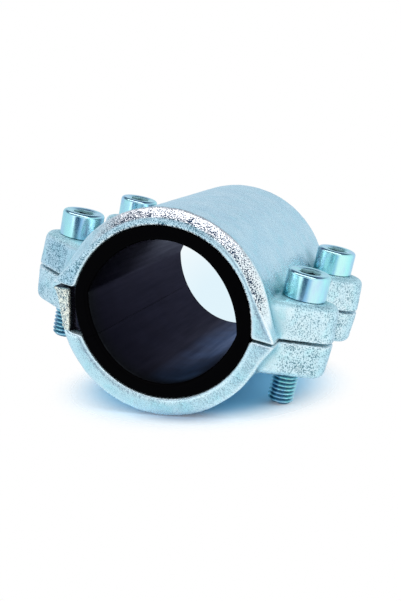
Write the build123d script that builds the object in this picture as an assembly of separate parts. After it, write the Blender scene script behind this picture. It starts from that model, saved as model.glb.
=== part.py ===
from build123d import *
import math
import os

# Two-part pipe repair clamp for 1 1/4 inch steel pipe, 42.4 mm outside.
# Two cast half shells are drawn together over a slit rubber sleeve by four M8 socket cap screws.
# The screws pass down through the ears of the upper shell into tapped holes in the ears of the lower one.
# Origin: middle of the bore, at mid length, in the parting plane. +Y runs along the bore, +Z along the
# screws towards their heads, and X across the ears. Every length is in millimetres.

# Pipe and rubber sleeve
PIPE_RADIUS = 21.2
PIPE_CLEARANCE = 0.1
PIPE_SEAT_ANGLE = 37.0       # degrees each side of the crown in which the bore follows the pipe
SLEEVE_WALL = 4.0
SLEEVE_FIT = 0.15            # running gap between the rubber and the iron
SLEEVE_RECESS = 0.4          # how far each end of the rubber stands back from the iron
SLEEVE_LIP = 1.2             # lead-in at both ends of the bore
SLEEVE_SLIT = 0.3
SLEEVE_SLIT_ANGLE = 213.0    # degrees from +X towards +Z

# Half shell castings
LENGTH = 84.0
CLOSING_OFFSET = 2.15        # how far each half's arcs are centred beyond the parting plane
SHELL_WALL = 5.4
WAIST_DEPTH = 1.0            # step down behind the collar; the body rises out of it towards the plain end
FLANK_SPREAD = 2.2           # how far the flanks reach beyond the crown's radius at the parting plane
PARTING_GAP = 0.5
COLLAR_LENGTH = 4.0
BEVEL_LENGTH = 2.9
BEVEL_WIDTH = 3.3            # at the crown; it runs out to nothing at the parting corner
BEVEL_CROWN_RADIUS = 28.7    # arc of the bevel's inner edge
RIM_BREAK = 0.5              # broken edge round both mouths of the cavity
CORNER_ROUND = 1.5           # where the cavity meets the parting face
PARTING_BREAK = 0.6          # chamfer along the flanks at the parting face

# Ears
EAR_HEIGHT = 11.4
EAR_NOSE_RADIUS = 6.5
EAR_NOSE_OVERHANG = 5.2      # nose centre beyond the screw axis
EAR_TAPER = 30.0             # degrees between an ear's side and the X axis
EAR_DRAFT = 3.0
EAR_EDGE_BREAK = 1.4         # upper edge of an ear
EAR_PARTING_BREAK = 0.25     # its edge at the parting face
SPOT_FACE_MARGIN = 0.75      # seat radius beyond the screw head

# Gate scar at the front left corner of the lower shell, where the casting's ingate was broken off
GATE_OVERRUN = 0.2           # how far outside the flank the facet starts, at the parting plane
GATE_HEIGHT = 13.4           # from the parting plane down to the level ledge
GATE_SLOPE = 30.0            # degrees between the facet and the end face; it deepens towards the bore
GATE_FACET_RUN = 6.1         # how far the facet's outer edge closes in on the bore by the ledge
GATE_RECESS_WIDTH = 2.4      # rough recess between the facet and the cavity, at the parting plane
GATE_RECESS_RUN = 3.0        # how far its outer side closes in on the bore by the ledge
GATE_RECESS_DEPTH = 4.4

# Socket cap screws, M8
SCREW_STAND_OFF = 9.2        # from the arc of the cavity to a screw's axis
SCREW_INSET = 19.15          # from an end of the shells to a screw's axis
SCREW_RADIUS = 4.0
SCREW_LENGTH = 33.0
SCREW_TIP_CHAMFER = 1.0
HEAD_RADIUS = 6.5
HEAD_HEIGHT = 8.0
HEAD_EDGE_BREAK = 0.7
SOCKET_FLATS = 6.0
SOCKET_DEPTH = 4.5
SOCKET_CHAMFER = 0.15        # countersink beyond the corners of the hexagon
SOCKET_CHAMFER_ANGLE = 30.0  # degrees between the countersink and the top of the head
CLEARANCE_HOLE = 0.5         # radial, through the upper ears
THREAD_FIT = 0.05            # radial, in the lower ears

# Worked out from the sizes above
BORE_RADIUS = PIPE_RADIUS + PIPE_CLEARANCE
SLEEVE_CROWN = BORE_RADIUS + SLEEVE_WALL
CAVITY_RADIUS = SLEEVE_CROWN + SLEEVE_FIT + CLOSING_OFFSET
SLEEVE_RADIUS = CAVITY_RADIUS - SLEEVE_FIT
SHELL_RADIUS = CAVITY_RADIUS + SHELL_WALL
FLANK_REACH = SHELL_RADIUS + FLANK_SPREAD
WAIST_RADIUS = SHELL_RADIUS - WAIST_DEPTH
HALF_LENGTH = LENGTH / 2
HALF_GAP = PARTING_GAP / 2
THROUGH = LENGTH + 2 * SHELL_RADIUS   # longer than any through cut needs
SCREW_X = CAVITY_RADIUS + SCREW_STAND_OFF
SCREW_Y = HALF_LENGTH - SCREW_INSET
SCREW_PLACES = {
    "front_left": (-SCREW_X, -SCREW_Y),
    "front_right": (SCREW_X, -SCREW_Y),
    "rear_left": (-SCREW_X, SCREW_Y),
    "rear_right": (SCREW_X, SCREW_Y),
}


def section_plane(y):
    """Cross-section plane at y along the bore, with sketch x along X and sketch y along Z."""
    return Plane(origin=(0, y, 0), x_dir=(1, 0, 0), z_dir=(0, -1, 0))


def flank_foot(radius, offset):
    """Point where the flank from the parting corner touches a crown arc centred below the parting plane."""
    drop = offset + HALF_GAP
    angle = math.atan2(drop, FLANK_REACH) + math.acos(radius / math.hypot(FLANK_REACH, drop))
    return radius * math.cos(angle), radius * math.sin(angle) - offset


def half_section(y, radius, offset):
    """Half shell outline: a crown arc and a tangent flank down to each corner."""
    foot_x, foot_z = flank_foot(radius, offset)
    with BuildSketch(section_plane(y)) as section:
        with BuildLine():
            Polyline((-foot_x, foot_z), (-FLANK_REACH, HALF_GAP), (FLANK_REACH, HALF_GAP), (foot_x, foot_z))
            ThreePointArc((foot_x, foot_z), (0, radius - offset), (-foot_x, foot_z))
        make_face()
        chamfer(section.vertices().group_by(Axis.Y)[0], PARTING_BREAK)
    return section.sketch


def oval_section(y, radius):
    """Oval that two arcs make when their centres cross over by the closing offset."""
    half_width = math.sqrt(radius**2 - CLOSING_OFFSET**2)
    crown = radius - CLOSING_OFFSET
    with BuildSketch(section_plane(y)) as section:
        with BuildLine():
            ThreePointArc((half_width, 0), (0, crown), (-half_width, 0))
            ThreePointArc((-half_width, 0), (0, -crown), (half_width, 0))
        make_face()
    return section.sketch


def through_space(section, half_length, mouth):
    """Space of one section(y, widening) from end to end, opened out at 45 degrees by mouth at both ends."""
    space = extrude(section(half_length, 0), amount=2 * half_length)
    for end in (-half_length, half_length):
        inside = end - math.copysign(mouth, end)
        space += loft([section(end, mouth), section(inside, 0)], ruled=True)
    return space


def cavity_section(y, widening):
    """Room for the rubber inside the two shells."""
    return oval_section(y, CAVITY_RADIUS + widening)


def bore_section(y, widening):
    """Bore of the rubber: true to the pipe at crown and foot, with fuller arcs between them at the sides."""
    radius = BORE_RADIUS + widening
    half_width = math.sqrt(SLEEVE_RADIUS**2 - CLOSING_OFFSET**2) - SLEEVE_WALL + widening
    seat = math.radians(PIPE_SEAT_ANGLE)
    edge_x, edge_z = radius * math.sin(seat), radius * math.cos(seat)
    with BuildSketch(section_plane(y)) as section:
        with BuildLine():
            crown = ThreePointArc((-edge_x, edge_z), (0, radius), (edge_x, edge_z))
            side = TangentArc((edge_x, edge_z), (half_width, 0), tangent=crown % 1)
            mirror(side, about=Plane.YZ)
            mirror(crown, about=Plane.XZ)
            mirror(side, about=Plane.XZ)
            mirror(mirror(side, about=Plane.YZ, mode=Mode.PRIVATE), about=Plane.XZ)
        make_face()
    return section.sketch


def waist():
    """Body behind the collar: a barrel whose centre line falls by the waist's depth, over straight flanks."""
    length = LENGTH - COLLAR_LENGTH
    centre_line = Plane(origin=(0, HALF_LENGTH, -CLOSING_OFFSET), z_dir=(0, -length, -WAIST_DEPTH))
    room = Box(2 * SHELL_RADIUS, length, SHELL_RADIUS, align=(Align.CENTER, Align.MAX, Align.MIN))
    crown = centre_line * Cylinder(SHELL_RADIUS, 2 * THROUGH) & Pos(0, HALF_LENGTH, HALF_GAP) * room
    foot_x, foot_z = flank_foot(WAIST_RADIUS, CLOSING_OFFSET)
    with BuildSketch(section_plane(HALF_LENGTH)) as flanks:
        with BuildLine():
            corners = [(-FLANK_REACH, HALF_GAP), (FLANK_REACH, HALF_GAP)]
            Polyline((-foot_x, foot_z), *corners, (foot_x, foot_z), close=True)
        make_face()
        chamfer(flanks.vertices().group_by(Axis.Y)[0], PARTING_BREAK)
    return crown + extrude(flanks.sketch, amount=length)


def shell_body():
    """Solid half barrel: a bevelled collar at -Y, a step down to the waist, and a plain end at +Y."""
    bevel_offset = BEVEL_CROWN_RADIUS + BEVEL_WIDTH - (SHELL_RADIUS - CLOSING_OFFSET)
    nose = half_section(-HALF_LENGTH, BEVEL_CROWN_RADIUS, bevel_offset)
    bevel = half_section(-HALF_LENGTH + BEVEL_LENGTH, SHELL_RADIUS, CLOSING_OFFSET)
    collar = half_section(-HALF_LENGTH + COLLAR_LENGTH, SHELL_RADIUS, CLOSING_OFFSET)
    return waist() + extrude(collar, amount=COLLAR_LENGTH - BEVEL_LENGTH) + loft([nose, bevel], ruled=True)


def ear(x, y):
    """Tapered tongue round one screw: a nose arc joined by its tangent sides to a root inside the shell."""
    nose_x = SCREW_X + EAR_NOSE_OVERHANG
    root_x = CAVITY_RADIUS
    taper = math.radians(EAR_TAPER)
    touch_x, touch_y = nose_x + EAR_NOSE_RADIUS * math.sin(taper), EAR_NOSE_RADIUS * math.cos(taper)
    root_y = EAR_NOSE_RADIUS / math.cos(taper) + (nose_x - root_x) * math.tan(taper)
    with BuildSketch(Plane.XY.offset(HALF_GAP)) as plan:
        with BuildLine():
            Line((root_x, y - root_y), (touch_x, y - touch_y))
            ThreePointArc((touch_x, y - touch_y), (nose_x + EAR_NOSE_RADIUS, y), (touch_x, y + touch_y))
            Line((touch_x, y + touch_y), (root_x, y + root_y))
            Line((root_x, y + root_y), (root_x, y - root_y))
        make_face()
    tongue = extrude(plan.sketch, amount=EAR_HEIGHT - HALF_GAP, taper=EAR_DRAFT)
    for rim, length in ((0, EAR_PARTING_BREAK), (-1, EAR_EDGE_BREAK)):
        tongue = chamfer(tongue.edges().group_by(Axis.Z)[rim].sort_by(Axis.X)[1:], length)
    return tongue if x > 0 else mirror(tongue, about=Plane.YZ)


def half_shell():
    """The casting that both halves start from, as the upper one lies, with its bevelled end at -Y."""
    shell = shell_body() + [ear(x, y) for x, y in SCREW_PLACES.values()]
    shell -= through_space(cavity_section, HALF_LENGTH, RIM_BREAK)
    lowest = shell.edges().filter_by(Axis.Y).group_by(Axis.Z)[0]
    return fillet([e for e in lowest if abs(e.center().X) < CAVITY_RADIUS], CORNER_ROUND)


def drill(shell, radius):
    """Holes through the ears for the four screws."""
    for x, y in SCREW_PLACES.values():
        shell -= Pos(x, y, 0) * Cylinder(radius, THROUGH)
    return shell


def upper_half_shell():
    """Upper shell: plain clearance holes, and a flat seat for each head, spot-faced into the flank."""
    shell = drill(half_shell(), SCREW_RADIUS + CLEARANCE_HOLE)
    seat = Cylinder(HEAD_RADIUS + SPOT_FACE_MARGIN, THROUGH, align=(Align.CENTER, Align.CENTER, Align.MIN))
    for x, y in SCREW_PLACES.values():
        shell -= Pos(x, y, EAR_HEIGHT) * seat
    return shell


def gate_scar():
    """What the broken ingate took from the end face: a facet leaning in to the bore, and a recess by it."""
    foot = Vector(-FLANK_REACH - GATE_OVERRUN + GATE_FACET_RUN, -HALF_LENGTH, -GATE_HEIGHT)
    down = Vector(GATE_FACET_RUN, 0, -GATE_HEIGHT)
    lean = Plane(origin=foot, x_dir=down, z_dir=(0, -1, 0)).location * Rotation(-GATE_SLOPE, 0, 0)
    facet = lean * Box(THROUGH, THROUGH, THROUGH, align=(Align.CENTER, Align.MIN, Align.MIN))
    left_half = Box(THROUGH, THROUGH, GATE_HEIGHT, align=(Align.MAX, Align.CENTER, Align.MIN))
    side_x = -CAVITY_RADIUS - GATE_RECESS_WIDTH
    with BuildSketch(section_plane(-HALF_LENGTH + GATE_RECESS_DEPTH)) as recess:
        with BuildLine():
            inner_side = [(0, -GATE_HEIGHT), (0, 0)]
            Polyline((side_x, 0), (side_x + GATE_RECESS_RUN, -GATE_HEIGHT), *inner_side, close=True)
        make_face()
    return facet & Pos(0, 0, -GATE_HEIGHT) * left_half, extrude(recess.sketch, amount=GATE_RECESS_DEPTH)


def lower_half_shell():
    """Lower shell: the same casting turned end for end about X, with tapped holes and the gate scar."""
    shell = drill(half_shell().rotate(Axis.X, 180), SCREW_RADIUS + THREAD_FIT)
    for cut in gate_scar():
        shell -= cut
    return shell


def rubber_sleeve():
    """One-piece rubber sleeve, slit along its length so that it can be opened over a pipe."""
    half_length = HALF_LENGTH - SLEEVE_RECESS
    sleeve = extrude(oval_section(half_length, SLEEVE_RADIUS), amount=2 * half_length)
    sleeve -= through_space(bore_section, half_length, SLEEVE_LIP)
    slit = Box(CAVITY_RADIUS, THROUGH, SLEEVE_SLIT, align=(Align.MIN, Align.CENTER, Align.CENTER))
    return sleeve - slit.rotate(Axis.Y, -SLEEVE_SLIT_ANGLE)


def cap_screw(x, y):
    """Socket cap screw, seated on the upper ear with its shank down through both ears."""
    head = Cylinder(HEAD_RADIUS, HEAD_HEIGHT, align=(Align.CENTER, Align.CENTER, Align.MIN))
    head = chamfer(head.edges().sort_by(Axis.Z)[-1], HEAD_EDGE_BREAK)
    socket = extrude(RegularPolygon(SOCKET_FLATS / 2, 6, major_radius=False), amount=-SOCKET_DEPTH)
    rim = SOCKET_FLATS / math.sqrt(3) + SOCKET_CHAMFER
    depth = rim * math.tan(math.radians(SOCKET_CHAMFER_ANGLE))
    socket += Cone(0, rim, depth, align=(Align.CENTER, Align.CENTER, Align.MAX))
    head -= Pos(0, 0, HEAD_HEIGHT) * socket
    shank = Cylinder(SCREW_RADIUS, SCREW_LENGTH, align=(Align.CENTER, Align.CENTER, Align.MAX))
    shank = chamfer(shank.edges().sort_by(Axis.Z)[0], SCREW_TIP_CHAMFER)
    return Pos(x, y, EAR_HEIGHT) * (head + shank)


def main():
    os.makedirs("parts", exist_ok=True)
    nodes = {
        "upper_half_shell": upper_half_shell(),
        "lower_half_shell": lower_half_shell(),
        "rubber_sleeve": rubber_sleeve(),
    }
    for place, (x, y) in SCREW_PLACES.items():
        nodes[f"cap_screw_{place}"] = cap_screw(x, y)
    for name, solid in nodes.items():
        export_step(solid, f"parts/{name}.step")


main()
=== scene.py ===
# %% [markdown]
# # A pipe repair clamp
# Two cast iron half shells squeeze a rubber sleeve round a pipe, and four socket cap screws pull them
# together. The CAD model is loaded first as a fixed frame. Every piece made here lies exactly where its CAD
# solid lies, in metres, and rides on the body that carries that solid. The sizes below are in millimetres,
# because a maker reads them more easily, and one factor turns them into metres.

# %% Load the frame
import math

import bmesh
import bpy
import numpy as np
from mathutils import Matrix, Vector


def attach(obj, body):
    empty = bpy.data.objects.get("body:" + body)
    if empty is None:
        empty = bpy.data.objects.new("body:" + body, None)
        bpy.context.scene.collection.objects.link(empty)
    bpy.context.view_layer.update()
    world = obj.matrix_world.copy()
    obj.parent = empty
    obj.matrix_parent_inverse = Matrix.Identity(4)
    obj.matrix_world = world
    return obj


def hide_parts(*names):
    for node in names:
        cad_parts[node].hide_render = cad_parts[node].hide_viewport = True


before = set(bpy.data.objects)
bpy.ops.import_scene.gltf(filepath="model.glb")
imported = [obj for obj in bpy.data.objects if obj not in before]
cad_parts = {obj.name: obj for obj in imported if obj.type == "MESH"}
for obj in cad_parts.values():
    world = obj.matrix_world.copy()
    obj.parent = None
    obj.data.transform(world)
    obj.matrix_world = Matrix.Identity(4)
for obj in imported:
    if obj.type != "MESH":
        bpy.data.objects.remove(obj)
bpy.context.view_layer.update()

MM = 0.001

# %% [markdown]
# ## From arrays to meshes
# Most pieces of a clamp are turned, moulded or extruded, so each is one sheet of points in rows and columns
# that closes on itself. Such a sheet could be drawn by hand, spun with a modifier or computed. Computing it
# keeps every size visible as a number, and numpy does all the points at once.

# %% A grid of points becomes a closed mesh
def finished_piece(name, points, faces):
    """Object at the origin from points in millimetres and faces given as lists of point numbers."""
    mesh = bpy.data.meshes.new(name)
    mesh.from_pydata((points * MM).tolist(), [], faces)
    mesh.validate()
    piece = bpy.data.objects.new(name, mesh)
    bpy.context.scene.collection.objects.link(piece)
    return piece


def grid_faces(rows, columns, wrap_rows=False):
    """Quads between neighbouring rows and columns of a grid whose columns close on themselves.
    Row r and column c hold point r * columns + c; with wrap_rows the last row is joined to the first."""
    r, c = np.meshgrid(np.arange(rows if wrap_rows else rows - 1), np.arange(columns), indexing="ij")
    below, beside = (r + 1) % rows, (c + 1) % columns
    here, under = r * columns, below * columns
    return np.stack([here + c, here + beside, under + beside, under + c], -1).reshape(-1, 4)


def crisp(piece, degrees):
    """Smooth shading that breaks only where two faces meet at more than this angle."""
    piece.data.shade_smooth()
    piece.data.set_sharp_from_angle(angle=math.radians(degrees))


def stored(piece, name, values):
    """Keeps one number from 0 to 1 for each point on the piece's mesh, for its material to read."""
    layer = piece.data.attributes.new(name, "FLOAT", "POINT")
    layer.data.foreach_set("value", np.clip(values, 0, 1).astype(np.float32))


def report(piece):
    """Prints a piece's size in millimetres and its number of faces."""
    points = np.empty(len(piece.data.vertices) * 3)
    piece.data.vertices.foreach_get("co", points)
    size = np.ptp(points.reshape(-1, 3), axis=0) / MM
    print(f"{piece.name}: {size.round(1).tolist()} mm, {len(piece.data.polygons)} faces")


# %% [markdown]
# ## Uneven surfaces
# Rubber and cast iron are never quite even. Their swells and grains are a smooth random function of the
# place, so that neighbouring points move alike. A noise texture would do it in a material, but a shape has to
# be real, so the same idea is worked out here for the points themselves.

# %% Smooth random values in space
def lump_noise(points, size, seed):
    """Value noise between -1 and 1: random values at the corners of cubes of the given size,
    blended inside each cube with the smooth weight 3t^2 - 2t^3 along its three edges."""
    scaled = points / size
    cell = np.floor(scaled).astype(np.int64)
    t = scaled - cell
    weight = t * t * (3 - 2 * t)
    total = np.zeros(len(points))
    for corner in np.ndindex(2, 2, 2):
        key = (cell + corner) @ np.array([73856093, 19349663, 83492791]) + seed * 2654435761
        key = (key ^ (key >> 13)) * 1274126177 % 4294967296
        value = ((key ^ (key >> 16)) % 65536) / 32767.5 - 1
        total += value * np.where(corner, weight, 1 - weight).prod(axis=1)
    return total


print("noise at three points:", lump_noise(np.array([[0, 0, 0], [1.5, 0, 0], [0, 9.2, 4]]), 3, 1).round(3))

# %% [markdown]
# ## The rubber sleeve
# The sleeve is a thick rubber tube, moulded oval and slit along its length so that it can be opened over a
# pipe. Its wall could be an extruded outline with bevelled rims. Here one loop goes round the wall, from the
# bore over a rounded lip, down the end face and back along the outside, and that loop is carried round the
# axis from one face of the slit to the other. The rounded lips then come for nothing.

# %% Outlines of the sleeve
BORE_RADIUS = 21.3
BORE_SEAT_ANGLE = 37.0       # degrees either side of crown and foot in which the bore is true to the pipe
BORE_HALF_WIDTH = 23.37
SLEEVE_RADIUS = 27.45        # of the two arcs that make the outside
ARC_OFFSET = 2.15            # how far each arc's centre lies beyond the parting plane
SLEEVE_HALF_LENGTH = 41.6
LIP_RADIUS = 1.2
OUTER_LIP_RADIUS = 0.4
SLIT_ANGLE = 213.0
SLIT_WIDTH = 0.14            # pressed nearly shut
BORE_SWELL = 0.05


def oval_radius(angle, radius):
    """Distance from the axis to an oval of two arcs whose centres lie ARC_OFFSET past the middle line:
    sqrt(radius^2 - (offset cos a)^2) - offset |sin a|."""
    return np.sqrt(radius**2 - (ARC_OFFSET * np.cos(angle)) ** 2) - ARC_OFFSET * np.abs(np.sin(angle))


def bore_radius(angle):
    """Distance from the axis to the bore: the pipe's radius near crown and foot. At each side an arc leaves
    that circle along its tangent at the touching angle and passes through the half width."""
    touch = math.pi / 2 - math.radians(BORE_SEAT_ANGLE)
    back = (BORE_HALF_WIDTH**2 - BORE_RADIUS**2) / 2 / (BORE_RADIUS - BORE_HALF_WIDTH * math.cos(touch))
    folded = np.abs((angle + math.pi / 2) % math.pi - math.pi / 2)
    along = -back * np.cos(folded - touch)
    arc = along + np.sqrt(along**2 - back**2 + (BORE_RADIUS + back) ** 2)
    return np.where(folded > touch, BORE_RADIUS, arc)


print("bore half width and half height:", bore_radius(np.array([0, math.pi / 2])).round(3))

# %% Carry the wall's outline round the axis
ROUND_STEPS = 300
BORE_STEPS = 84
LIP_STEPS = 7
END_STEPS = 4


def wall_loop():
    """Closed loop round the wall in rows of share, inset and place along the bore. Share runs from 0 on the
    bore to 1 outside, and the inset draws a quarter circle at each lip: bore, lip, end face, rim, outside."""
    turn = np.linspace(0, math.pi / 2, LIP_STEPS)
    run = np.linspace(LIP_RADIUS - SLEEVE_HALF_LENGTH, SLEEVE_HALF_LENGTH - LIP_RADIUS, BORE_STEPS)
    bore = np.stack([0 * run, 0 * run, run])
    lip = np.stack([0 * turn, LIP_RADIUS * (1 - np.cos(turn)), run[-1] + LIP_RADIUS * np.sin(turn)])[:, 1:]
    share = np.linspace(0, 1, END_STEPS + 2)[1:-1]
    face = np.stack([share, LIP_RADIUS * (1 - share), 0 * share + SLEEVE_HALF_LENGTH])
    rim = np.stack([0 * turn + 1, -OUTER_LIP_RADIUS * (1 - np.sin(turn)),
                    SLEEVE_HALF_LENGTH - OUTER_LIP_RADIUS * (1 - np.cos(turn))])
    near = np.concatenate([lip, face, rim], axis=1)
    outside = np.stack([0 * run + 1, 0 * run, run[::-1]])
    return np.concatenate([bore, near, outside, near[:, ::-1] * [[1], [1], [-1]]], axis=1)


def sleeve_points():
    """Radius = bore + share * (outside - bore) + inset, swept from slit face to slit face. The bore dips a
    little into the rubber in uneven bands along it, as a long noise that hardly changes in that direction."""
    share, inset, along = wall_loop()
    half_slit = SLIT_WIDTH / 2 / SLEEVE_RADIUS
    turn = np.linspace(half_slit, 2 * math.pi - half_slit, ROUND_STEPS) + math.radians(SLIT_ANGLE)
    angle, along = np.meshgrid(turn, along, indexing="ij")
    inner, outer = bore_radius(angle), oval_radius(angle, SLEEVE_RADIUS)
    radius = inner + share * (outer - inner) + inset
    place = np.stack([radius * np.cos(angle), along, radius * np.sin(angle)], -1).reshape(-1, 3)
    swell = lump_noise(place * [1, 0.12, 1], 5.0, 11) + 0.5 * lump_noise(place * [1, 0.3, 1], 2.2, 12)
    radius += ((share == 0) & (inset == 0)) * BORE_SWELL * (1.5 + swell.reshape(radius.shape))
    return np.stack([radius * np.cos(angle), along, radius * np.sin(angle)], -1).reshape(-1, 3)


loop_length = wall_loop().shape[1]
sleeve_faces = grid_faces(ROUND_STEPS, loop_length).tolist()
sleeve_faces.append(list(range(loop_length)))
sleeve_faces.append(list(range(ROUND_STEPS * loop_length - 1, (ROUND_STEPS - 1) * loop_length - 1, -1)))
sleeve = finished_piece("rubber_liner", sleeve_points(), sleeve_faces)
crisp(sleeve, 50)
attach(sleeve, "lower_shell")
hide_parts("rubber_sleeve")
report(sleeve)

# %% [markdown]
# Rubber that has lain in store has a thin bloom. Near the front lip it is left off, so that the bore's mouth
# is darker as painted shade, and low on the right it turns pale blue as a painted sheen. Two numbers for
# each point of the mesh say where, for the material to read.

# %% Bloom in the bore, with painted shade at its mouth and a painted sheen
# painted shade: over this range along the bore, from the front lip, the bloom is left off
MOUTH_SHADE_ALONG = (-41.0, -33.0)
# painted sheen: across and in height, where the bore turns pale blue low on the right
SHEEN_ACROSS = (-2.0, 12.0)
SHEEN_HEIGHT = (-12.0, -19.0)


def rising(value, low, high):
    """Straight rise from 0 at low to 1 at high, held beyond both."""
    return np.clip((value - low) / (high - low), 0, 1)


share, inset, _ = wall_loop()
across, along, height = sleeve_points().T
# no bloom at the bore's mouth, as painted shade, and a painted sheen low on the right
film_and_mouth_shade = np.tile((share == 0) & (inset == 0), ROUND_STEPS) * rising(along, *MOUTH_SHADE_ALONG)
painted_sheen = film_and_mouth_shade * rising(across, *SHEEN_ACROSS) * rising(height, *SHEEN_HEIGHT)
stored(sleeve, "bloom_and_painted_light", film_and_mouth_shade)
stored(sleeve, "painted_sheen", painted_sheen)
print("share of the rubber's points with bloom:", round(float((film_and_mouth_shade > 0).mean()), 3))

# %% [markdown]
# ## The cap screws
# An M8 socket cap screw is turned and its socket is broached, so it is one outline spun about its axis,
# except in two places. The thread's radius follows a helix, and the socket's is that of a hexagon. A screw
# modifier and a boolean would make both with poor edges. As one polar grid, every row goes once round the
# screw, and the thread and the hexagon are only other functions for the radius.

# %% Outline of a cap screw
SCREW_RADIUS = 3.96
SCREW_LENGTH = 33.0
THREAD_PITCH = 1.25
THREAD_DEPTH = 0.77
THREAD_FLANK = 0.44          # length of a flank along the axis
CREST_WIDTH = 0.16
TIP_RADIUS = 3.05
HEAD_RADIUS = 6.5
HEAD_HEIGHT = 8.0
HEAD_ROUND = 1.1
HEAD_FOOT_BREAK = 0.3
SOCKET_FLATS = 6.0
SOCKET_DEPTH = 4.5
SOCKET_RIM = 3.62
HEAD_DISH = 0.14             # the socket's rim lies lower than the head's
SOCKET_CONE = math.radians(30)
# depths below the cone: the socket's wall takes painted light above the first and painted shade from the
# second
SOCKET_LIGHT_DEPTH = 0.6          # how deep the wall is bright below the cone
SOCKET_SHADE_DEPTH = 0.9            # and from where it is dark
SOCKET_TAPER = 0.98
RIM_ROWS = 8
SCREW_COLUMNS = 96
ROWS_PER_PITCH = 12


def thread_radius(angle, height):
    """Major radius less a trapezoid groove that repeats each pitch along the axis and climbs a pitch each
    turn. It runs out below the head, and a 45 degree cone cuts it off at the tip."""
    phase = (height / THREAD_PITCH - angle / (2 * math.pi)) % 1 - 0.5
    from_crest = np.abs(phase) * THREAD_PITCH
    groove = np.clip((from_crest - CREST_WIDTH / 2) / THREAD_FLANK, 0, 1)
    runout = np.clip(-height / THREAD_PITCH - 0.5, 0, 1)
    tip_cone = TIP_RADIUS + (height + SCREW_LENGTH)
    return np.minimum(SCREW_RADIUS - THREAD_DEPTH * groove * runout, tip_cone)


def hexagon_radius(angle, flats):
    """Distance from a hexagon's centre to its side: half the flats over the cosine of the angle from the
    middle of the nearest side."""
    return flats / 2 / np.cos((angle + math.pi / 6) % (math.pi / 3) - math.pi / 6)


def screw_rows(socket_turn):
    """Radius and height of each row of the polar grid, from the tip up the thread, round the head and down
    the socket. With them come two weights: one of painted shade, for the grooves, the foot of the head and
    the socket's bottom, and socket, for painted light on the upper part of the socket's wall."""
    angle = np.linspace(0, 2 * math.pi, SCREW_COLUMNS, endpoint=False)
    steps = int(SCREW_LENGTH / THREAD_PITCH * ROWS_PER_PITCH)
    heights = np.linspace(-SCREW_LENGTH, 0, steps + 1)[:, None] + 0 * angle
    shank = thread_radius(angle, heights)
    quarter = np.linspace(0, math.pi / 2, RIM_ROWS)[:, None] + 0 * angle
    rim_r = HEAD_RADIUS - HEAD_ROUND * (1 - np.cos(quarter))
    rim_z = HEAD_HEIGHT - HEAD_ROUND * (1 - np.sin(quarter))
    hexagon = hexagon_radius(angle + socket_turn, SOCKET_FLATS)[None]
    flat = 0 * angle[None]
    cone_z = HEAD_HEIGHT - HEAD_DISH - (SOCKET_RIM - hexagon) * math.tan(SOCKET_CONE)
    radius = np.concatenate([shank, flat + HEAD_RADIUS - HEAD_FOOT_BREAK, flat + HEAD_RADIUS, rim_r,
                             flat + SOCKET_RIM, hexagon, hexagon, hexagon, hexagon * SOCKET_TAPER])
    height = np.concatenate([heights, flat, flat + HEAD_FOOT_BREAK, rim_z, flat + HEAD_HEIGHT - HEAD_DISH,
                             cone_z, cone_z - SOCKET_LIGHT_DEPTH, cone_z - SOCKET_SHADE_DEPTH,
                             flat + HEAD_HEIGHT - SOCKET_DEPTH])
    # painted shade in the grooves, at the head's foot and at the socket's bottom; painted light on the
    # socket's upper wall
    crevice_shade, socket = np.zeros_like(radius), np.zeros_like(radius)
    crevice_shade[:len(heights)] = (SCREW_RADIUS - shank) / THREAD_DEPTH
    crevice_shade[len(heights)] = 1
    crevice_shade[-2:] = 1
    socket[-4:-2] = 1
    return angle, radius, height, crevice_shade, socket


# %% Set a screw in each ear
SCREW_X = 36.8
SCREW_Y = 22.85
SEAT_HEIGHT = 11.4
SCREW_PLACES = {
    "front_left": (-SCREW_X, -SCREW_Y, 0.35),
    "front_right": (SCREW_X, -SCREW_Y, 0.1),
    "rear_left": (-SCREW_X, SCREW_Y, 0.8),
    "rear_right": (SCREW_X, SCREW_Y, 0.55),
}
screws = []
for place, (x, y, socket_turn) in SCREW_PLACES.items():
    angle, radius, height, crevice_shade, socket = screw_rows(socket_turn)
    points = np.stack([x + radius * np.cos(angle), y + radius * np.sin(angle), SEAT_HEIGHT + height], -1)
    rows = len(radius)
    screw_faces = grid_faces(rows, SCREW_COLUMNS).tolist()
    screw_faces.append(list(range(SCREW_COLUMNS))[::-1])
    screw_faces.append(list(range((rows - 1) * SCREW_COLUMNS, rows * SCREW_COLUMNS)))
    screw = finished_piece(f"socket_screw_{place}", points.reshape(-1, 3), screw_faces)
    crisp(screw, 28)
    # painted shade in the screw's crevices and painted light on its socket's upper wall
    stored(screw, "crevice_shade", crevice_shade.ravel())
    stored(screw, "socket", socket.ravel())
    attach(screw, f"screw_{place}")
    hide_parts(f"cap_screw_{place}")
    screws.append(screw)
    report(screw)

# %% [markdown]
# ## The cast shells
# A sand casting has no sharp edge. Its corners are round, its ears flow into the barrel, and its skin is
# grainy under the zinc. The shell's outline changes too often for one grid: a barrel, a bevelled collar, four
# tapered ears and the holes through them. So its CAD solid is the starting shape. A copy is covered anew with
# a fine even mesh, and numpy then does to that mesh what sand and zinc do to the pattern: it rounds the
# corners, fills the hollows and roughens the skin, each where it happens on the real casting.

# %% Cover the solid with an even mesh
CELL = 0.53


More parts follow.
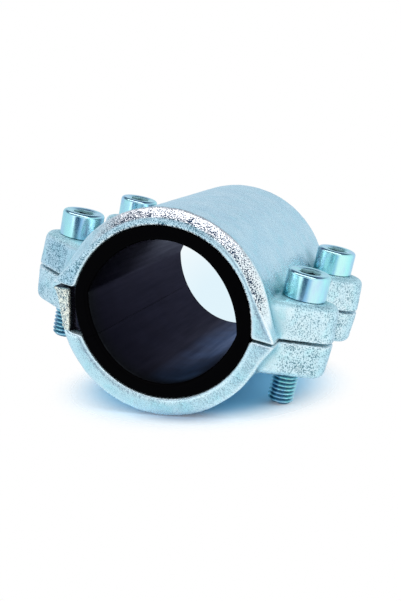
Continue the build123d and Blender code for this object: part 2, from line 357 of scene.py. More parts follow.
def even_mesh(node, name):
    """Object with the node's shape: its triangles are joined, and a grid of cubes finds an even surface."""
    joined = bmesh.new()
    joined.from_mesh(node.data)
    bmesh.ops.remove_doubles(joined, verts=joined.verts, dist=0.001 * MM)
    mesh = bpy.data.meshes.new(name)
    joined.to_mesh(mesh)
    joined.free()
    piece = bpy.data.objects.new(name, mesh)
    bpy.context.scene.collection.objects.link(piece)
    cubes = piece.modifiers.new("cubes", "REMESH")
    cubes.mode = "VOXEL"
    cubes.voxel_size = CELL * MM
    cubes.adaptivity = 0
    depsgraph = bpy.context.evaluated_depsgraph_get()
    piece.data = bpy.data.meshes.new_from_object(piece.evaluated_get(depsgraph))
    piece.modifiers.clear()
    piece.data.name = name
    piece.data.shade_smooth()
    return piece


shells = {
    "upper_casting": even_mesh(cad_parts["upper_half_shell"], "upper_casting"),
    "lower_casting": even_mesh(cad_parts["lower_half_shell"], "lower_casting"),
}
for piece in shells.values():
    report(piece)

# %% Read and write the points of a mesh
def read_points(mesh):
    """Every point of a mesh in millimetres."""
    flat = np.empty(len(mesh.vertices) * 3)
    mesh.vertices.foreach_get("co", flat)
    return flat.reshape(-1, 3) / MM


def write_points(mesh, points):
    """Moves every point of a mesh to a place in millimetres."""
    mesh.vertices.foreach_set("co", (points * MM).astype(np.float32).ravel())
    mesh.update()


def outward(mesh):
    """Unit direction out of the surface at every point."""
    flat = np.empty(len(mesh.vertices) * 3, np.float32)
    mesh.vertex_normals.foreach_get("vector", flat)
    return flat.reshape(-1, 3)


def edge_ends(mesh):
    """Two point numbers for every edge."""
    flat = np.empty(len(mesh.edges) * 2, np.int32)
    mesh.edges.foreach_get("vertices", flat)
    return flat.reshape(-1, 2)


def to_neighbours(points, ends):
    """Step from each point to the mean of the points that share an edge with it."""
    a, b = ends.T
    count = np.bincount(ends.ravel(), minlength=len(points))
    total = np.stack([np.bincount(a, points[b, k], len(points)) + np.bincount(b, points[a, k], len(points))
                      for k in range(3)], 1)
    return total / count[:, None] - points


# %% Where each thing happens on a casting
HOLE_RADIUS = {"upper_casting": 4.5, "lower_casting": 4.05}
CAVITY_RADIUS = 27.6
FLANK_REACH = 35.2
SEAT_RADIUS = 7.25
EAR_TOP = 11.4
COLLAR_END = -38.0
BEVEL_START = -39.1
SCAR_TOP = np.array([-35.4, -42.0, 0.0])       # line of the facet's outer edge, from the parting plane
SCAR_FOOT = np.array([-29.3, -42.0, -13.4])    # to the ledge
SCAR_SLOPE = math.radians(30)
SCAR_CRUMBLED = -1.2                           # the top of the facet, where the parting edge broke away
RECESS_SIDE = -30.0                            # of the dark recess, at the parting plane
RECESS_RUN = 3.0
RECESS_DEPTH = 4.4
BODY_SPECKS = 0.10


def ramp(value, low, high):
    """Smooth step from 0 at low to 1 at high: t^2 (3 - 2t)."""
    t = np.clip((value - low) / (high - low), 0, 1)
    return t * t * (3 - 2 * t)


def casting_zones(points, name):
    """Weights from 0 to 1 for the places of a casting, worked out as the upper shell lies: products of smooth
    steps in the distance from a screw's axis, from the bore's axis and along X, Y and Z."""
    side = 1 if name == "upper_casting" else -1
    x, y, z = (points * [1, side, side]).T
    to_screw = np.hypot(np.abs(x) - SCREW_X, np.abs(y) - SCREW_Y)
    zones = {"hole": to_screw < HOLE_RADIUS[name] + 0.45}
    zones["cavity"] = np.hypot(x, z + ARC_OFFSET) < CAVITY_RADIUS + 0.3
    # the seat and the ear beside each head also take painted shade
    seat = (1 - ramp(to_screw, SEAT_RADIUS - 0.5, SEAT_RADIUS)) * ramp(z, EAR_TOP - 0.9, EAR_TOP - 0.3)
    zones["seat"] = seat * (name == "upper_casting")
    behind = (1 - ramp(to_screw, 7, 11.5)) * (1 - ramp(np.abs(x), 29, 33)) * ramp(z, 9, 11)
    zones["behind"] = behind * (name == "upper_casting")
    zones["parting"] = 1 - ramp(np.abs(z), 0.7, 1.7)
    zones["ear"] = ramp(np.abs(x), FLANK_REACH + 1.0, FLANK_REACH + 2.5)
    zones["root"] = ramp(np.abs(x), 29, 32) * ramp(y, COLLAR_END + 0.3, COLLAR_END + 1.5)
    zones["skin"] = (1 - zones["seat"]) * ~zones["hole"] * ~zones["cavity"]
    return zones


def skin_zones(points, out, name):
    """Weights of the bevel, which takes a near-white painted highlight, of dark specks, of a narrow band of
    painted shade behind the collar's bevel, and of the left of the collar's end face, which takes painted
    shade. Specks are thin on the body, thicker on ears and end faces, thickest on the bevel towards its inner
    edge."""
    side = 1 if name == "upper_casting" else -1
    x, y, z = (points * [1, side, side]).T
    ahead = -out[:, 1] * side
    collar_end, plain_end = ramp(ahead, 0.80, 0.93), ramp(-ahead, 0.7, 0.9)
    # the bevel, faded out to the left, which takes a near-white painted highlight
    bevel = ramp(ahead, 0.30, 0.50) * (1 - collar_end) * (y < COLLAR_END - 0.4) * (z > 0) * ramp(x, -28, -16)
    inner = np.clip((BEVEL_START - y) / (BEVEL_START + 42), 0, 1)
    # a narrow band behind the collar's bevel, which takes painted shade
    band = (1 - ramp(ahead, 0.30, 0.50)) * (y < COLLAR_END + 0.3) * ramp(z, 4, 12)
    ears = ramp(np.abs(x), FLANK_REACH - 1, FLANK_REACH + 2)
    # the left of the collar's end face, which takes painted shade and more specks
    ring = collar_end * (1 - ramp(x, 8, 18))
    specks = BODY_SPECKS + 0.26 * ears + 0.36 * ring + 0.08 * plain_end * ramp(x, 5, 20)
    return bevel, np.maximum(specks, bevel * (0.15 + 0.85 * inner) * ramp(z, 4, 13)), band, ring


def scar_zones(points, out, name):
    """Weights for the facet that the broken gate left, whose near-white colour is partly a painted highlight,
    and for the recess between it and the rubber and the strip along the parting plane above it, painted near
    black as shade.
    The facet is the plane through its outer edge that leans back towards the bore by the slope."""
    if name == "upper_casting":
        return np.zeros(len(points)), np.zeros(len(points))
    down = (SCAR_FOOT - SCAR_TOP) / np.linalg.norm(SCAR_FOOT - SCAR_TOP)
    inwards = np.cross(down, [0, 1, 0])
    facing = inwards * math.sin(SCAR_SLOPE) - np.array([0, math.cos(SCAR_SLOPE), 0])
    x, y, z = points.T
    reach = (z > SCAR_FOOT[2] + 0.2) & (y < SCAR_FOOT[1] + RECESS_DEPTH + 0.8) & (x < -22)
    side = RECESS_SIDE + RECESS_RUN * z / SCAR_FOOT[2]
    recess = np.maximum(ramp(x - side, -0.3, 0.2), ramp(z, SCAR_CRUMBLED - 0.2, SCAR_CRUMBLED + 0.2)) * reach
    level = np.abs((points - SCAR_TOP) @ facing) < 0.8
    return ramp(out @ facing, 0.2, 0.6) * level * reach * (1 - recess), recess


# %% Round the corners, fill the hollows, roughen the skin
ALL_PASSES = 8
PARTING_PASSES = 2           # fewer, so that the line between the shells stays thin
EAR_PASSES = 3
FILL_PASSES = 30
BEND_PASSES = 3
GRAIN = ((6.0, 0.10, 21), (2.4, 0.07, 22), (1.25, 0.04, 23))       # size, depth and seed
SCAR_LUMPS = ((2.0, 0.3, 31), (1.1, 0.2, 32))
RECESS_SUNK = 0.6
# bends of the surface: hollows take painted shade, and edges a painted highlight
HOLLOW_SHADE_GAIN = 26            # how soon a bend of the surface counts as a hollow
EDGE_SHINE = 11              # and as an edge
# painted shade under the heads, beside them on the ears and behind the bevel
SEAT_SHADE, BEHIND_HEAD_SHADE, BAND_SHADE = 0.45, 0.75, 0.9


def cast(piece):
    """Each pass moves every point half way to its neighbours' mean, times a weight for the place. The fill
    keeps only the part of that step that leads out of the surface, so it acts in hollows alone. The bend of
    the surface, which is that same part after the fill, then sets painted shade in hollows and a painted
    highlight on edges for the material."""
    mesh, name = piece.data, piece.name
    points, ends = read_points(mesh), edge_ends(mesh)
    zones = casting_zones(points, name)
    weight = 0.5 * (1 - zones["seat"])[:, None]
    for _ in range(PARTING_PASSES):
        points = points + weight * to_neighbours(points, ends)
    weight = weight * (1 - zones["parting"])[:, None]
    for _ in range(ALL_PASSES - PARTING_PASSES):
        points = points + weight * to_neighbours(points, ends)
    weight = weight * (zones["ear"] * zones["skin"])[:, None]
    for _ in range(EAR_PASSES):
        points = points + weight * to_neighbours(points, ends)
    write_points(mesh, points)
    facet, recess = scar_zones(points, outward(mesh), name)
    weight = 0.5 * (zones["root"] * zones["skin"] * (facet + recess == 0))[:, None]
    for _ in range(FILL_PASSES):
        write_points(mesh, points)
        out = outward(mesh)
        step = (to_neighbours(points, ends) * out).sum(axis=1, keepdims=True)
        points = points + weight * out * np.maximum(step, 0)
    write_points(mesh, points)
    bend = (to_neighbours(points, ends) * outward(mesh)).sum(axis=1)
    for _ in range(BEND_PASSES):
        bend = bend + 0.5 * to_neighbours(bend[:, None] * [1, 1, 1], ends)[:, 0]
    bevel, specks, band, ring = skin_zones(points, outward(mesh), name)
    # painted shading on the upward faces of the upper shell's ears
    top = ramp(np.abs(points[:, 0]), 29, 31) * ramp(outward(mesh)[:, 2], 0.35, 0.7)
    # painted shade: hollows, seats under the heads, the ears beside them and the band behind the bevel
    shade_zones = SEAT_SHADE * zones["seat"] + BEHIND_HEAD_SHADE * zones["behind"] + BAND_SHADE * band
    stored(piece, "top", top * (name == "upper_casting"))
    stored(piece, "bevel", bevel)
    stored(piece, "ring", ring)
    stored(piece, "specks", specks)
    stored(piece, "painted_shade", bend * HOLLOW_SHADE_GAIN + shade_zones)
    # painted highlight on convex edges
    stored(piece, "edge", -bend * EDGE_SHINE)
    stored(piece, "scar", facet)
    stored(piece, "recess", recess)
    sunk = sum(depth * (1 + lump_noise(points, size, seed)) / 2 for size, depth, seed in GRAIN)
    sunk = sunk * zones["skin"] * (1 - facet) + RECESS_SUNK * recess
    sunk = sunk + facet * sum(depth * lump_noise(points, size, seed) for size, depth, seed in SCAR_LUMPS)
    write_points(mesh, points - outward(mesh) * sunk[:, None])
    print(name, "sharpest hollow and edge:", bend.max().round(3), bend.min().round(3))


for name, piece in shells.items():
    cast(piece)
    body = name.replace("casting", "shell")
    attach(piece, body)
    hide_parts(body.replace("shell", "half_shell"))
    report(piece)

# %% [markdown]
# ## Finishes
# Galvanised iron is grey iron under a skin of zinc: a dull metal, mottled in soft patches, with bright grains
# and dark pits. A flat metallic shader would look like plastic. Noise in the piece's own Object coordinates
# gives each scale of that skin, and the same noise also drives the bump, so that a pit is both dark and deep.

# %% Small helpers for node materials
def new_finish(name, **sockets):
    """Material with a Principled shader whose own sockets take the given constants."""
    material = bpy.data.materials.new(name)
    material.use_nodes = True
    shader = material.node_tree.nodes["Principled BSDF"]
    for socket, value in sockets.items():
        shader.inputs[socket.replace("_", " ")].default_value = value
    return material, shader


def add_node(tree, kind, **inputs):
    """Node of a kind, with its inputs given by name: a socket is linked, a number or colour is set."""
    node = tree.nodes.new(kind)
    for name, value in inputs.items():
        socket = node.inputs[name.replace("_", " ")]
        if isinstance(value, bpy.types.NodeSocket):
            tree.links.new(value, socket)
        else:
            socket.default_value = value
    return node


def grain_of(tree, size, detail=2.0, roughness=0.5, stretch=(1, 1, 1)):
    """Noise with lumps of about the given size in millimetres, drawn out by stretch along X, Y and Z."""
    place = tree.nodes.new("ShaderNodeTexCoord").outputs["Object"]
    drawn = add_node(tree, "ShaderNodeMapping", Vector=place, Scale=[1 / s for s in stretch])
    noise = add_node(tree, "ShaderNodeTexNoise", Vector=drawn.outputs[0], Scale=1 / (size * MM),
                     Detail=detail, Roughness=roughness)
    return noise.outputs["Fac"]


def ramp_of(tree, factor, *stops):
    """Colour ramp through stops of (place, colour)."""
    node = add_node(tree, "ShaderNodeValToRGB", Fac=factor)
    elements = node.color_ramp.elements
    while len(elements) < len(stops):
        elements.new(0.5)
    for element, (place, colour) in zip(elements, stops):
        element.position = place
        element.color = (*colour, 1) if len(colour) == 3 else colour
    return node.outputs["Color"]


def grey(value):
    """Same value in red, green and blue."""
    return (value, value, value)


def mixed(tree, factor, first, second, blend="MIX"):
    """Colour between first and second, or first multiplied by second to that degree."""
    node = tree.nodes.new("ShaderNodeMix")
    node.data_type = "RGBA"
    node.blend_type = blend
    sockets = (node.inputs["Factor"], node.inputs[6], node.inputs[7])
    for socket, value in zip(sockets, (factor, first, second)):
        if isinstance(value, bpy.types.NodeSocket):
            tree.links.new(value, socket)
        else:
            socket.default_value = value if isinstance(value, (int, float)) else (*value, 1)
    return node.outputs[2]


def facing(tree, direction, towards):
    """How far a direction points towards a fixed vector, as their dot product."""
    node = tree.nodes.new("ShaderNodeVectorMath")
    node.operation = "DOT_PRODUCT"
    tree.links.new(direction, node.inputs[0])
    node.inputs[1].default_value = towards
    return node.outputs["Value"]


def rescaled(tree, value, low, high, start=0.0, end=1.0):
    """Value carried from the range low..high to start..end, and held there beyond it."""
    node = add_node(tree, "ShaderNodeMapRange", Value=value)
    for socket, number in zip(("From Min", "From Max", "To Min", "To Max"), (low, high, start, end)):
        node.inputs[socket].default_value = number
    return node.outputs[0]


# %% Galvanised cast iron
ZINC_DULL = (0.58, 0.80, 0.89)
ZINC_BRIGHT = (0.76, 0.93, 0.97)
ZINC_TINT = (0.50, 0.86, 0.92)
# painted shade on the left of the front ring
RING_PAINTED_SHADE = (0.46, 0.66, 0.80)
# painted shading on the upward faces of the ears
EAR_TOP_SHADING = (0.26, 0.55, 0.62)
BODY_ZINC = (0.28, 0.51, 0.62)
ZINC_SPECK = (0.09, 0.22, 0.28)
# painted highlight on convex edges
EDGE_HIGHLIGHT = (0.84, 0.92, 0.96)
# painted highlight: the bevel is coloured near white
BEVEL_HIGHLIGHT = (0.91, 0.94, 0.95)
BEVEL_SPECK = (0.010, 0.035, 0.08)
# painted shade for hollows, seats, the ears beside the heads and the band behind the bevel
HOLLOW_SHADE_COLOUR = (0.05, 0.27, 0.32)
# broken metal, near white as a partly painted highlight
SCAR_METAL_HIGHLIGHT = (0.95, 0.97, 0.86)
SCAR_SPECK = (0.14, 0.20, 0.24)
# painted shade: the recess beside the gate scar is near black
RECESS_SHADE = (0.030, 0.027, 0.044)
PATCHES, CLOUDS, CLUMPS, GRAINS, FINE = 7.0, 4.0, 2.4, 0.9, 0.36   # millimetres
TINT_SHARE = 0.5
RING_SHADE_SHARE = 0.75
BODY_SHARE = 0.24
EAR_TOP_SHADING_SHARE = 0.8
SPECK_START = (0.72, 0.80)
ZINC_ROUGHNESS = (0.20, 0.34)
GRAINS_HIGH = 0.22
FINE_HIGH = 0.08


def attribute_of(tree, name):
    """The number that the mesh keeps for each point under a name."""
    node = tree.nodes.new("ShaderNodeAttribute")
    node.attribute_name = name
    return node.outputs["Fac"]


def weighed(tree, first, share, second):
    """first * share + second, where each may be a socket or a number."""
    node = tree.nodes.new("ShaderNodeMath")
    node.operation = "MULTIPLY_ADD"
    for socket, value in zip(node.inputs, (first, share, second)):
        if isinstance(value, bpy.types.NodeSocket):
            tree.links.new(value, socket)
        else:
            socket.default_value = value
    return node.outputs[0]


def galvanised():
    """Patches, a cyan tint in clouds, grains and dark specks, in colour, gloss and height. A speck shows where
    the fine noise, a share of the clumps and the point's own weight add up to more than SPECK_START. Painted
    shade darkens the hollows, the seats under the heads, the ears beside them, the band behind the bevel and
    the left of the front ring. The bevel and the edges take painted highlights, the ears' upward faces take
    painted shading, edges and those faces are less metallic, and the gate scar shows broken metal, near
    white as a partly painted highlight, beside a recess painted near black as shade."""
    material, shader = new_finish("galvanised_iron")
    tree = material.node_tree
    patches = grain_of(tree, PATCHES, detail=4.0, roughness=0.6)
    clouds = grain_of(tree, CLOUDS)
    grains = grain_of(tree, GRAINS)
    fine = grain_of(tree, FINE, detail=1.0)
    specks, bevel = attribute_of(tree, "specks"), attribute_of(tree, "bevel")
    skin = ramp_of(tree, patches, (0.3, ZINC_DULL), (0.7, ZINC_BRIGHT))
    skin = mixed(tree, ramp_of(tree, clouds, (0.50, grey(0)), (0.68, grey(TINT_SHARE))), skin, ZINC_TINT)
    # painted shade on the left of the front ring
    skin = mixed(tree, rescaled(tree, attribute_of(tree, "ring"), 0, 1, 0, RING_SHADE_SHARE), skin, RING_PAINTED_SHADE)
    skin = mixed(tree, rescaled(tree, specks, BODY_SPECKS, 0.25, BODY_SHARE, 0.0), skin, BODY_ZINC)
    top, edge = attribute_of(tree, "top"), attribute_of(tree, "edge")
    # painted shading on the upward faces of the upper shell's ears
    skin = mixed(tree, rescaled(tree, top, 0, 1, 0, EAR_TOP_SHADING_SHARE), skin, EAR_TOP_SHADING)
    # painted highlight on convex edges
    colour = mixed(tree, edge, skin, EDGE_HIGHLIGHT)
    # painted highlight: the bevel is near white
    colour = mixed(tree, bevel, colour, BEVEL_HIGHLIGHT)
    clumps = grain_of(tree, CLUMPS)
    dark = rescaled(tree, weighed(tree, clumps, 0.25, weighed(tree, specks, 0.18, fine)), *SPECK_START)
    dark = weighed(tree, dark, rescaled(tree, specks, BODY_SPECKS, 0.45, 0.2, 1.0), 0)
    colour = mixed(tree, dark, colour, mixed(tree, bevel, ZINC_SPECK, BEVEL_SPECK))
    # painted shade in hollows, under and beside the heads and behind the bevel
    colour = mixed(tree, attribute_of(tree, "painted_shade"), colour, HOLLOW_SHADE_COLOUR)
    # broken metal at the gate scar, near white as a partly painted highlight
    broken = mixed(tree, rescaled(tree, fine, 0.50, 0.60), SCAR_METAL_HIGHLIGHT, SCAR_SPECK)
    colour = mixed(tree, attribute_of(tree, "scar"), colour, broken)
    # painted shade: the recess beside the scar is near black
    colour = mixed(tree, attribute_of(tree, "recess"), colour, RECESS_SHADE)
    tree.links.new(colour, shader.inputs["Base Color"])
    # edges and the ears' upward faces are less metallic, with their painted highlight and painted shading
    metal = weighed(tree, top, -0.4, rescaled(tree, edge, 0.1, 1, 0.78, 0.4))
    tree.links.new(metal, shader.inputs["Metallic"])
    smooth, rough = (grey(value) for value in ZINC_ROUGHNESS)
    tree.links.new(ramp_of(tree, grains, (0.3, smooth), (0.75, rough)), shader.inputs["Roughness"])
    depth = rescaled(tree, specks, BODY_SPECKS, 0.35, 0.5, 0.9)
    low = add_node(tree, "ShaderNodeBump", Strength=depth, Distance=GRAINS_HIGH * MM, Height=grains)
    high = add_node(tree, "ShaderNodeBump", Strength=depth, Distance=FINE_HIGH * MM, Height=fine,
                    Normal=low.outputs[0])
    high.invert = True
    tree.links.new(high.outputs[0], shader.inputs["Normal"])
    return material


def paint(piece, material):
    """The piece's one material."""
    piece.data.materials.clear()
    piece.data.materials.append(material)


iron = galvanised()
for piece in shells.values():
    paint(piece, iron)

# %% [markdown]
# Moulded rubber is near black and a little glossy, because the mould was. The bore was wiped along its length
# when it was drawn off the core, so its gloss changes in long narrow streaks.

# %% Black rubber
RUBBER = (0.0008, 0.0007, 0.0009)
BLOOM_DARK = (0.0015, 0.0012, 0.003)
BLOOM_PALE = (0.004, 0.004, 0.009)
# painted sheen: the pale blue low on the right of the bore
PAINTED_SHEEN_COLOUR = (0.14, 0.30, 0.60)
FILM_TINT = (0.64, 0.61, 0.69, 1.0)


def moulded_rubber():
    """Near black. The bore has an indigo bloom that only shows at a low angle, as a thin coat would. It is
    left off near the front lip as painted shade and is paler low on the right as a painted sheen, and the
    bore's gloss changes in streaks that run along it."""
    material, shader = new_finish("black_rubber", Specular_IOR_Level=0.02, Specular_Tint=FILM_TINT)
    tree = material.node_tree
    streaks = grain_of(tree, 2.2, detail=4.0, roughness=0.6, stretch=(1, 14, 1))
    blotches = grain_of(tree, 9.0, detail=3.0)
    # the bloom's weight, left off at the bore's mouth as painted shade
    film_and_mouth_shade = attribute_of(tree, "bloom_and_painted_light")
    bloom_and_painted_light = ramp_of(tree, mixed(tree, 0.5, streaks, blotches), (0.38, BLOOM_DARK), (0.62, BLOOM_PALE))
    # painted sheen: paler blue low on the right of the bore
    bloom_and_painted_light = mixed(tree, weighed(tree, attribute_of(tree, "painted_sheen"), blotches, 0), bloom_and_painted_light, PAINTED_SHEEN_COLOUR)
    tree.links.new(mixed(tree, film_and_mouth_shade, RUBBER, bloom_and_painted_light), shader.inputs["Base Color"])
    tree.links.new(rescaled(tree, film_and_mouth_shade, 0, 1, 0.0, 0.9), shader.inputs["Metallic"])
    tree.links.new(ramp_of(tree, streaks, (0.3, grey(0.30)), (0.7, grey(0.44))), shader.inputs["Roughness"])
    bump = add_node(tree, "ShaderNodeBump", Strength=0.35, Distance=0.12 * MM, Height=streaks)
    tree.links.new(bump.outputs[0], shader.inputs["Normal"])
    return material


paint(sleeve, moulded_rubber())

# %% [markdown]
# The screws are forged and turned, then zinc plated: a bright metal with a faint cloudiness and the finest
# marks round the head.

# %% Zinc plated steel
PLATE_GREEN = (0.56, 0.96, 0.94)
PLATE_BLUE = (0.56, 0.80, 0.95)
# painted shade for the grooves, the foot of the head and the socket's bottom
CREVICE_SHADE_COLOUR = (0.05, 0.17, 0.26)
# painted light on the socket's upper wall, which is also less metallic
SOCKET_PAINTED_LIGHT = (0.34, 0.62, 0.66)


def zinc_plate():
    """Bright metal whose thin plating turns from green to blue in upright clouds, a little uneven, with fine
    marks, and with painted shade in the grooves, at the foot of the head and at the socket's bottom. The upper
    part of the socket's wall takes painted light: a duller, darker teal that is less metallic."""
    material, shader = new_finish("zinc_plated_steel")
    tree = material.node_tree
    clouds = grain_of(tree, 3.0, detail=2.0, stretch=(1, 1, 2.5))
    marks = grain_of(tree, 0.4, detail=2.0)
    socket = attribute_of(tree, "socket")
    skin = ramp_of(tree, clouds, (0.38, PLATE_GREEN), (0.62, PLATE_BLUE))
    # painted light on the socket's upper wall
    skin = mixed(tree, socket, skin, SOCKET_PAINTED_LIGHT)
    # painted shade in the crevices
    tree.links.new(mixed(tree, attribute_of(tree, "crevice_shade"), skin, CREVICE_SHADE_COLOUR), shader.inputs["Base Color"])
    tree.links.new(rescaled(tree, socket, 0, 1, 1.0, 0.4), shader.inputs["Metallic"])
    tree.links.new(ramp_of(tree, marks, (0.3, grey(0.17)), (0.7, grey(0.24))), shader.inputs["Roughness"])
    swells = add_node(tree, "ShaderNodeBump", Strength=0.22, Distance=0.25 * MM, Height=clouds)
    bump = add_node(tree, "ShaderNodeBump", Strength=0.15, Distance=0.03 * MM, Height=marks,
                    Normal=swells.outputs[0])
    tree.links.new(bump.outputs[0], shader.inputs["Normal"])
    return material


plate = zinc_plate()
for screw in screws:
    paint(screw, plate)

# %% [markdown]
# ## Floor, room and lamps
# The clamp lies rolled over to one side, on the lower shell and on two screw tips, so the floor is a tilted
# plane in the clamp's own frame. Round the clamp its pale blue is a painted shadow, and under the front ring
# it is darker still as a painted contact shadow, besides the shadow that the clamp casts on it. Past that
# it fades out, and the camera sees a white room.
# Metal shows what is round it, so the room has a bright horizon and a darker ceiling with one soft lamp in
# it, and some zones of their own colour in front of the clamp.

# %% Floor
ROLL = math.radians(14.6)
FLOOR_DEPTH = 30.92
FLOOR_NORMAL = Vector((-math.sin(ROLL), 0, math.cos(ROLL)))
FLOOR_RADIUS = 190.0
# painted shadow: the floor is pale blue round the clamp
FLOOR_SHADOW_TINT = (0.31, 0.66, 0.90)
FLOOR_FAR = (0.92, 0.97, 1.0)
# painted contact shadow under the front ring
CONTACT_SHADOW_COLOUR = (0.16, 0.30, 0.42)
FLOOR_MIDDLE = (0, -0.006, 0)                  # these are metres in the floor's own frame
FLOOR_PALE = (0.025, 0.065)                    # distances from its middle, near colour to far colour
FLOOR_FADE = (0.029, 0.052)                    # and whole to clear
CONTACT_SHIFT = (-0.005, 0.105, 0)
CONTACT_STRETCH = (1, 2.5, 1)                  # wider than deep
CONTACT_EDGE = (0.004, 0.017)


def tilted_floor():
    """Disc below the clamp, square to FLOOR_NORMAL. Its pale blue, a painted shadow round the clamp, turns
    white and fades out by 52 mm from the middle. A painted contact shadow makes it darker under the front
    ring, where the clamp rests. From below it doesn't show."""
    mesh = bpy.data.meshes.new("floor")
    turn = np.linspace(0, 2 * math.pi, 72, endpoint=False)
    ring = np.stack([FLOOR_RADIUS * np.cos(turn), FLOOR_RADIUS * np.sin(turn), 0 * turn], 1)
    mesh.from_pydata((ring * MM).tolist(), [], [list(range(len(turn)))])
    floor = bpy.data.objects.new("floor", mesh)
    bpy.context.scene.collection.objects.link(floor)
    floor.matrix_world = Matrix.Translation(-FLOOR_NORMAL * FLOOR_DEPTH * MM) @ Matrix.Rotation(-ROLL, 4, "Y")
    material, shader = new_finish("pale_floor", Roughness=0.9)
    tree = material.node_tree
    place = tree.nodes.new("ShaderNodeTexCoord").outputs["Object"]
    distance = tree.nodes.new("ShaderNodeVectorMath")
    distance.operation = "DISTANCE"
    tree.links.new(place, distance.inputs[0])
    distance.inputs[1].default_value = FLOOR_MIDDLE
    outwards = rescaled(tree, distance.outputs["Value"], *FLOOR_PALE)
    pale = ramp_of(tree, outwards, (0, FLOOR_SHADOW_TINT), (1, FLOOR_FAR))
    drawn = add_node(tree, "ShaderNodeMapping", Vector=place, Location=CONTACT_SHIFT, Scale=CONTACT_STRETCH)
    contact = tree.nodes.new("ShaderNodeVectorMath")
    contact.operation = "LENGTH"
    tree.links.new(drawn.outputs[0], contact.inputs[0])
    # painted contact shadow, darkest under the front ring
    contact_shadow = rescaled(tree, contact.outputs["Value"], *CONTACT_EDGE, 1.0, 0.0)
    tree.links.new(mixed(tree, contact_shadow, pale, CONTACT_SHADOW_COLOUR, "MULTIPLY"), shader.inputs["Base Color"])
    shown = add_node(tree, "ShaderNodeMapRange", Value=distance.outputs["Value"])
    for socket, value in zip(("From Min", "From Max"), FLOOR_FADE):
        shown.inputs[socket].default_value = value
    shown.interpolation_type = "SMOOTHSTEP"
    unseen = add_node(tree, "ShaderNodeMath")
    unseen.operation = "MAXIMUM"
    tree.links.new(shown.outputs[0], unseen.inputs[0])
    tree.links.new(tree.nodes.new("ShaderNodeNewGeometry").outputs["Backfacing"], unseen.inputs[1])
    clear = tree.nodes.new("ShaderNodeBsdfTransparent")
    mix = tree.nodes.new("ShaderNodeMixShader")
    for socket, value in zip(mix.inputs, (unseen.outputs[0], shader.outputs[0], clear.outputs[0])):
        tree.links.new(value, socket)
    tree.links.new(mix.outputs[0], tree.nodes["Material Output"].inputs["Surface"])
    mesh.materials.append(material)
    return floor


tilted_floor()

# %% Room
FILL = (1.06, 1.11, 1.14)
BRIGHT_SIDE = Vector((0.66, -0.73, -0.18))
HORIZON = ((0.0, (0.57, 0.70, 0.82)), (0.28, (0.60, 0.74, 0.85)),
           (0.75, (0.74, 0.94, 1.0)), (1.0, (1.0, 1.0, 1.0)))
CEILING = (0.03, 0.06, 0.13)
CEILING_START = (0.42, 0.70)
BLUE_ZONE = (Vector((0.20, -0.97, -0.10)), (0.915, 0.99), (0.34, 0.58, 0.80))
BRIGHT_STREAK = (Vector((-0.45, -0.89, 0.05)), (0.965, 0.99), (1.5, 1.6, 1.6))
DARK_STRIP = (Vector((-0.075, -0.997, 0)), (0.942, 0.972), (0.01, 0.07, 0.15))
# painted shade: a pale blue spot in the white room, seen through the bore
THROUGH_BORE = Vector((-0.2336, 0.9358, -0.2657))
BORE_VIEW_SHADE = (0.75, 0.90, 0.97)
BORE_VIEW_SHADE_START = 0.995


def room():
    """White for the camera, with a pale blue spot of painted shade that shows through the bore. Glossy rays
    see a bright horizon under a dark ceiling, dimmer to the left, and in front a blue zone, a bright streak
    and a dark strip, each as a share that rises with the cosine to its direction. Every other ray finds a pale
    fill."""
    world = bpy.data.worlds.new("room")
    bpy.context.scene.world = world
    world.use_nodes = True
    tree = world.node_tree
    direction = tree.nodes.new("ShaderNodeTexCoord").outputs["Generated"]
    sky = ramp_of(tree, rescaled(tree, facing(tree, direction, BRIGHT_SIDE), -1, 1), *HORIZON)
    above = rescaled(tree, facing(tree, direction, FLOOR_NORMAL), *CEILING_START)
    sky = mixed(tree, above, sky, CEILING)
    for towards, cosines, colour in (BLUE_ZONE, BRIGHT_STREAK, DARK_STRIP):
        share = rescaled(tree, facing(tree, direction, towards), *cosines)
        sky = mixed(tree, share, sky, colour)
    path = tree.nodes.new("ShaderNodeLightPath").outputs
    lit = mixed(tree, path["Is Glossy Ray"], FILL, sky)
    seen = add_node(tree, "ShaderNodeMath")
    seen.operation = "MAXIMUM"
    tree.links.new(path["Is Camera Ray"], seen.inputs[0])
    tree.links.new(path["Is Transmission Ray"], seen.inputs[1])
    # painted shade seen through the bore
    spot = rescaled(tree, facing(tree, direction, THROUGH_BORE), BORE_VIEW_SHADE_START, 1.0)
    white = mixed(tree, spot, grey(1.0), BORE_VIEW_SHADE)
    tree.links.new(mixed(tree, seen.outputs[0], lit, white), tree.nodes["Background"].inputs["Color"])


room()

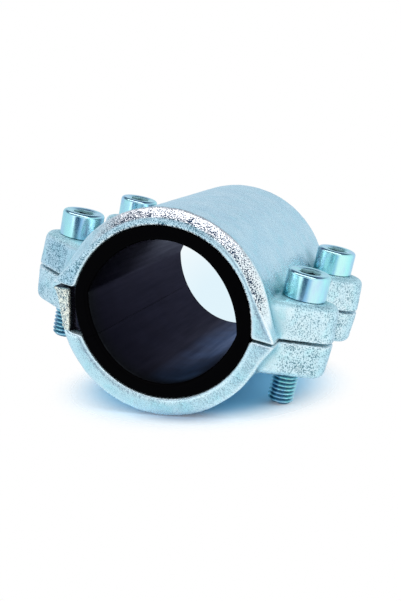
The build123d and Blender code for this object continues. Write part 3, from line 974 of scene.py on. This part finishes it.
# %% Lamps
def lamp(name, place, across, size, watts, colour):
    """Rectangular lamp at a place in millimetres, facing the clamp, with its longer side along across."""
    data = bpy.data.lights.new(name, "AREA")
    data.shape, data.energy, data.color = "RECTANGLE", watts, colour
    data.size, data.size_y = size[0] * MM, size[1] * MM
    light = bpy.data.objects.new(name, data)
    bpy.context.scene.collection.objects.link(light)
    away = Vector(place).normalized()
    long_side = (Vector(across) - away * away.dot(Vector(across))).normalized()
    turned = Matrix((long_side, away.cross(long_side), away)).transposed().to_4x4()
    light.matrix_world = Matrix.Translation(Vector(place) * MM) @ turned


lamp("ceiling_lamp", (-80, -150, 400), (0.97, -0.22, 0), (800, 170), 1.0, (1.0, 0.96, 0.97))

# %% [markdown]
# ## Camera
# The camera stands in front of the clamp and to its right, a little above it. Its place, its line of sight
# and its roll come from matching the screws, ears and rings to the photograph, with the clamp's frame as the
# ruler. The roll is mostly the clamp's own lean on the floor.

# %% Camera
CAMERA_PLACE = Vector((76.58, -274.12, 73.88))
SIGHT = Vector((-0.2606, 0.9280, -0.2663)).normalized()
CAMERA_ROLL = math.radians(11.6)
FOCAL_LENGTH_PIXELS = 884.89
PICTURE_HEIGHT = 601
SENSOR_HEIGHT = 36.0

data = bpy.data.cameras.new("camera")
data.sensor_fit = "VERTICAL"
data.sensor_height = SENSOR_HEIGHT
data.lens = FOCAL_LENGTH_PIXELS / PICTURE_HEIGHT * SENSOR_HEIGHT
data.clip_start, data.clip_end = 0.01, 10
camera = bpy.data.objects.new("camera", data)
bpy.context.scene.collection.objects.link(camera)
level = SIGHT.cross(Vector((0, 0, 1))).normalized()
upright = level.cross(SIGHT)
right = level * math.cos(CAMERA_ROLL) + upright * math.sin(CAMERA_ROLL)
up = upright * math.cos(CAMERA_ROLL) - level * math.sin(CAMERA_ROLL)
turned = Matrix((right, up, -SIGHT)).transposed().to_4x4()
camera.matrix_world = Matrix.Translation(CAMERA_PLACE * MM) @ turned
bpy.context.scene.camera = camera
bpy.context.scene.view_settings.view_transform = "Standard"
print("camera right and up:", [round(v, 4) for v in (*right, *up)])
